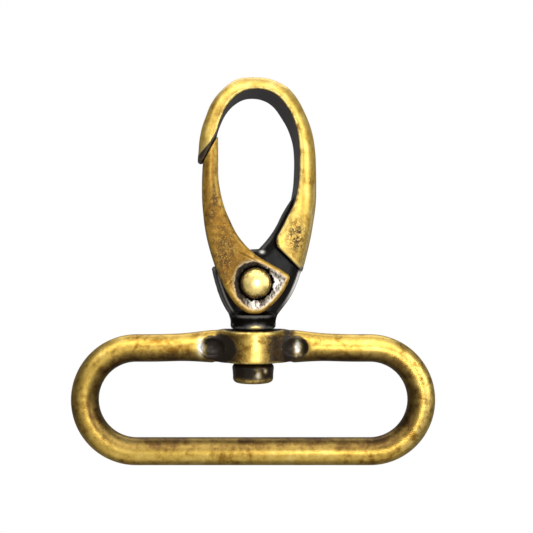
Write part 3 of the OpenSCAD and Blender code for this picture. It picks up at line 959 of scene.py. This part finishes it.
def antique_brass(name, deep=GOLD_DEEP, mid=GOLD_MID, pale=GOLD_PALE, browned=0.0, speckle=0.5,
                  polish=0.0, relief=0.35, patina_tone=PATINA):
    """Brass plate under a black patina. browned shifts the brass itself towards deep brown, speckle
    is how strong its fine dark specks are, polish takes away roughness, relief is how rough it feels."""
    g = Graph(name)
    mm = g.millimetres()
    drawn_out = g.scaled(mm, (1.0, 1.0, 0.28))
    coarse = g.noise(mm, 0.35, detail=3.0, rough=0.6, distortion=0.4)
    medium = g.noise(mm, 1.4, detail=4.0, rough=0.65, distortion=0.3)
    fine = g.noise(mm, 6.0, detail=3.0, rough=0.6)
    grit = g.noise(mm, 16.0, detail=2.0, rough=0.5)
    blotch = g.noise(mm, 2.0, detail=7.0, rough=0.75, distortion=0.5)
    fleck = g.noise(mm, 4.5, detail=2.0, rough=0.6, distortion=0.6)
    streak = g.noise(drawn_out, 3.4, detail=4.0, rough=0.7, distortion=1.2)

    patina, worn, silver = g.attribute("patina"), g.attribute("worn"), g.attribute("silver")
    hidden, mottle, inner = g.attribute("hidden"), g.attribute("mottle"), g.attribute("inner")
    ragged = g.times(g.minus(medium, 0.5), 0.9)
    dish = g.ramp(g.plus(g.attribute("dish"), ragged), 0.42, 0.62)

    # the brass, with its brown blotches, dark specks and pale flecks
    tone = g.minus(g.blended(coarse, 0.55, medium, 0.45), browned)
    gold = g.mix(g.ramp(tone, 0.30, 0.52), deep, mid)
    gold = g.mix(g.ramp(tone, 0.48, 0.72, 0.0, 0.6), gold, pale)
    gold = g.mix(g.times(mottle, 0.6), gold, deep)
    gold = g.mix(g.times(g.ramp(hidden, 0.25, 0.7), 0.8), gold, BROWN_PATINA_AND_SHADE)
    specks = g.times(g.ramp(g.blended(fine, 0.6, streak, 0.4), 0.49, 0.62), 0.3 * speckle)
    specks = g.larger(specks, g.times(g.ramp(blotch, 0.43, 0.56), mottle))
    gold = g.mix(specks, gold, BROWN_PATINA_AND_SHADE)
    flecks = g.times(g.ramp(fleck, 0.55, 0.66), 0.55)
    gold = g.mix(g.times(flecks, mottle), gold, pale)
    # sheltered sides browned; at the loop's left end and the boss's flanks this browning is painted
    # shade
    gold = g.mix(g.times(inner, g.ramp(tone, 0.3, 0.6, 0.95, 0.7)), gold, BROWN_PATINA_AND_SHADE)

    # where the patina lies, and where it is rubbed through or brightened by a painted highlight
    shade = g.plus(patina, g.times(g.minus(medium, 0.5), 0.6))
    shade = g.plus(shade, g.times(g.minus(fine, 0.5), 0.3))
    shade = g.ramp(shade, 0.36, 0.66)
    rubbed = g.ramp(g.blended(streak, 0.6, medium, 0.4), 0.36, 0.60)
    rubbed = g.times(rubbed, g.ramp(g.plus(mottle, medium), 0.5, 1.1, 0.95, 0.1))
    shade = g.larger(shade, g.times(dish, g.minus(1.0, rubbed)))
    rub = g.times(worn, g.larger(g.ramp(medium, 0.34, 0.56), silver))
    shade = g.times(shade, g.minus(1.0, g.times(rub, 0.85)))
    bare_and_glint = g.larger(g.times(dish, rubbed), g.times(silver, g.minus(1.0, dish)))
    bright = g.mix(silver, pale, SILVER)
    gold = g.mix(g.larger(g.times(rub, 0.6), bare_and_glint), gold, bright)
    black = g.mix(silver, patina_tone, PATINA_BLACK)
    colour = g.mix(shade, gold, black)

    rough = g.plus(g.times(medium, 0.16), 0.31 - 0.1 * polish)
    rough = g.plus(rough, g.times(specks, 0.2))
    rough = g.minus(rough, g.times(g.larger(silver, dish), 0.14))
    height = g.plus(g.blended(fine, 0.4, medium, 1.0), g.times(grit, 0.12))
    height = g.minus(height, g.times(specks, 0.5))
    # less metallic on the black tongue and on painted glints and reflections, so their own pale colour
    # shows under any light
    matt = g.times(silver, g.minus(0.6, g.times(dish, 0.6)))
    metal = g.times(g.ramp(shade, 0.0, 1.0, 1.0, 0.1), g.minus(1.0, matt))
    metal = g.times(metal, g.minus(1.0, g.times(g.attribute("satin"), 0.8)))
    return g.shade_with(g.node("BsdfPrincipled", {
        "Base Color": colour, "Metallic": metal, "Roughness": rough,
        "Specular IOR Level": g.minus(0.22, g.times(silver, 0.17)),
        "Normal": g.bumps(height, relief, 0.05 * MM),
    }))


def spring_steel(name):
    g = Graph(name)
    mm = g.millimetres()
    fine = g.noise(mm, 9.0, 3.0)
    medium = g.noise(mm, 2.0, 3.0)
    return g.shade_with(g.node("BsdfPrincipled", {
        "Base Color": g.mix(g.ramp(medium, 0.35, 0.65), STEEL_DARK, STEEL_PALE),
        "Metallic": 1.0, "Roughness": g.plus(g.times(fine, 0.25), 0.2),
        "Normal": g.bumps(fine, 0.4, 0.02 * MM),
    }))


def glow(name, colour, strength):
    g = Graph(name)
    return g.shade_with(g.node("Emission", {"Color": (*colour, 1), "Strength": strength}))


for piece, material in (
    (hook, antique_brass("hook_antique_brass", mid=HOOK_MID, browned=-0.02, speckle=0.3)),
    (gate, antique_brass("gate_antique_brass", GATE_DEEP, GATE_MID, GATE_PALE, browned=0.03,
                         speckle=1.8, polish=-0.8)),
    (loop, antique_brass("loop_antique_brass", browned=0.03, patina_tone=WARM_PATINA_AND_SHADE)),
    (pin, antique_brass("pin_antique_brass", browned=0.05, speckle=0.6, polish=1.0,
                        patina_tone=WARM_PATINA_AND_SHADE)),
    (rivet, antique_brass("rivet_antique_brass", RIVET_DEEP, RIVET_MID, speckle=0.9, polish=0.8,
                          relief=0.15)),
    (spring, spring_steel("spring_wire")),
):
    piece.data.materials.append(material)

# ---------------------------------------------------------------- studio

FLOOR_Z = -0.4
FLOOR_HALF = 3000
BACKDROP_R, BACKDROP_STEPS = 2500, 32


def surround(name, points, faces, material):
    """A part of the studio that the camera sees and that neither lights nor shades the object."""
    mesh = bpy.data.meshes.new(name)
    mesh.from_pydata([[c * MM for c in p] for p in points], [], faces)
    mesh.materials.append(material)
    obj = bpy.data.objects.new(name, mesh)
    bpy.context.collection.objects.link(obj)
    obj.visible_glossy = False
    obj.visible_diffuse = False
    obj.visible_shadow = False


def ball(radius, steps):
    """Points and faces of a sphere with steps rings and twice as many sides."""
    sides = 2 * steps
    points, faces = [], []
    for i in range(steps + 1):
        up = math.pi * (i / steps - 0.5)
        for k in range(sides):
            a = 2 * math.pi * k / sides
            points.append((radius * math.cos(up) * math.cos(a), radius * math.cos(up) * math.sin(a),
                           radius * math.sin(up)))
    for i in range(steps):
        for k in range(sides):
            n = (k + 1) % sides
            this, following = i * sides, (i + 1) * sides
            faces.append((this + k, following + k, following + n, this + n))
    return points, faces


def soft_light(name, place, aim, size, power):
    data = bpy.data.lights.new(name, "AREA")
    data.shape = "RECTANGLE"
    data.size, data.size_y = size[0] * MM, size[1] * MM
    data.energy = power
    obj = bpy.data.objects.new(name, data)
    obj.location = [c * MM for c in place]
    obj.rotation_euler = (Vector(aim) - Vector(place)).to_track_quat("-Z", "Y").to_euler()
    bpy.context.collection.objects.link(obj)


white = glow("floor_white", (1, 1, 1), 1.0)
corners = [(x * FLOOR_HALF, y * FLOOR_HALF, FLOOR_Z) for x, y in ((-1, -1), (1, -1), (1, 1), (-1, 1))]
surround("floor", corners, [(0, 1, 2, 3)], white)

world = bpy.data.worlds.new("studio")
world.use_nodes = True
bpy.context.scene.world = world
nodes, links = world.node_tree.nodes, world.node_tree.links
nodes.clear()
sky = nodes.new("ShaderNodeBackground")
sky.inputs["Color"].default_value = (1, 1, 1, 1)
sky.inputs["Strength"].default_value = 0.22
world_out = nodes.new("ShaderNodeOutputWorld")
links.new(sky.outputs[0], world_out.inputs["Surface"])

surround("backdrop", *ball(BACKDROP_R, BACKDROP_STEPS), white)

for light in (
    ("front_panel", (-60, -420, 60), (0, 0, 22), (700, 500), 0.5),
    ("key_top", (40, -270, 320), (0, 0, 25), (460, 260), 1.2),
    ("key_core", (-30, -280, 320), (0, 0, 25), (110, 70), 0.22),
    ("overhead", (0, -60, 420), (0, 0, 25), (500, 250), 0.6),
    ("key_right", (330, -240, 120), (0, 0, 22), (200, 300), 1.0),
    ("strip_left", (-260, -240, 270), (0, 0, 30), (160, 260), 0.35),
    ("near_front", (58, -300, 22), (0, 0, 20), (60, 90), 0.3),
    ("below_front", (0, -200, -220), (0, 0, 10), (500, 250), 0.3),
    ("back_top", (0, 220, 330), (0, 0, 25), (400, 160), 0.5),
):
    soft_light(*light)

AIM = Vector((1.65, 0, 24.43)) * MM
DISTANCE = 105 * MM
camera_data = bpy.data.cameras.new("camera")
camera_data.lens = 57.6
camera_data.sensor_width = 36
camera_data.clip_start = 10 * MM
camera_data.clip_end = 10000 * MM
camera = bpy.data.objects.new("camera", camera_data)
camera.location = AIM + Vector((0, -DISTANCE, 0))
camera.rotation_euler = (AIM - camera.location).to_track_quat("-Z", "Y").to_euler()
bpy.context.collection.objects.link(camera)
bpy.context.scene.camera = camera
bpy.context.scene.view_settings.view_transform = "Standard"
